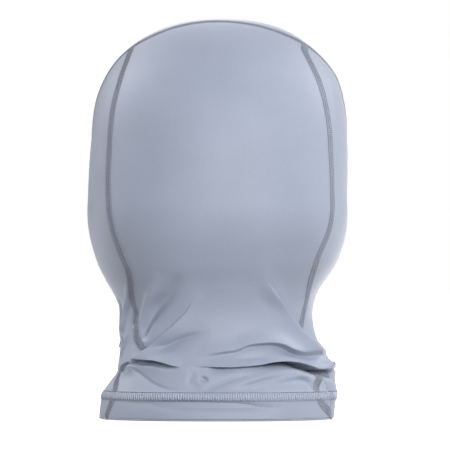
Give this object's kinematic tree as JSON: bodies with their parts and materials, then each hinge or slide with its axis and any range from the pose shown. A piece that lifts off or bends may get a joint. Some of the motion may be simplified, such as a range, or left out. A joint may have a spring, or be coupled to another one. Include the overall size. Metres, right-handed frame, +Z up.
{
  "type": "balaclava",
  "caption": "Close-fitting stretch-fabric balaclava with flat-seamed panels, an oval face opening and a short neck tube.",
  "frame": {"origin": "middle of the neck opening, in the plane of the hem's lower edge", "axes": "+Z up to the crown, the face towards -Y, +X the wearer's left"},
  "size_m": [0.175, 0.2121, 0.2701],
  "materials": {
    "shell_fabric": "satin stretch jersey, grey-blue",
    "seam_thread": "textured polyester thread, mid grey",
    "binding_fabric": "folded elastic binding, grey-blue",
    "label_fabric": "woven satin tape, white"
  },
  "bodies": {
    "hood": {"back_panel": "shell_fabric", "left_side_panel": "shell_fabric", "right_side_panel": "shell_fabric", "forehead_panel": "shell_fabric", "left_face_panel": "shell_fabric", "right_face_panel": "shell_fabric", "hem_turn_up": "shell_fabric", "face_opening_binding": "binding_fabric", "crown_seam": "seam_thread", "left_back_seam": "seam_thread", "right_back_seam": "seam_thread", "left_front_seam": "seam_thread", "right_front_seam": "seam_thread", "left_temple_seam": "seam_thread", "right_temple_seam": "seam_thread", "centre_front_seam": "seam_thread", "binding_stitching": "seam_thread", "left_bartack": "seam_thread", "right_bartack": "seam_thread", "hem_coverstitch": "seam_thread"},
    "label": {"care_label": "label_fabric"}
  },
  "joints": [
    {"name": "label_fold", "type": "hinge", "parent": "hood", "child": "label", "pos_m": [-0.0541, 0.0338, 0.062], "axis": [0, 0, 1], "range_deg": [-138, 0]}
  ]
}
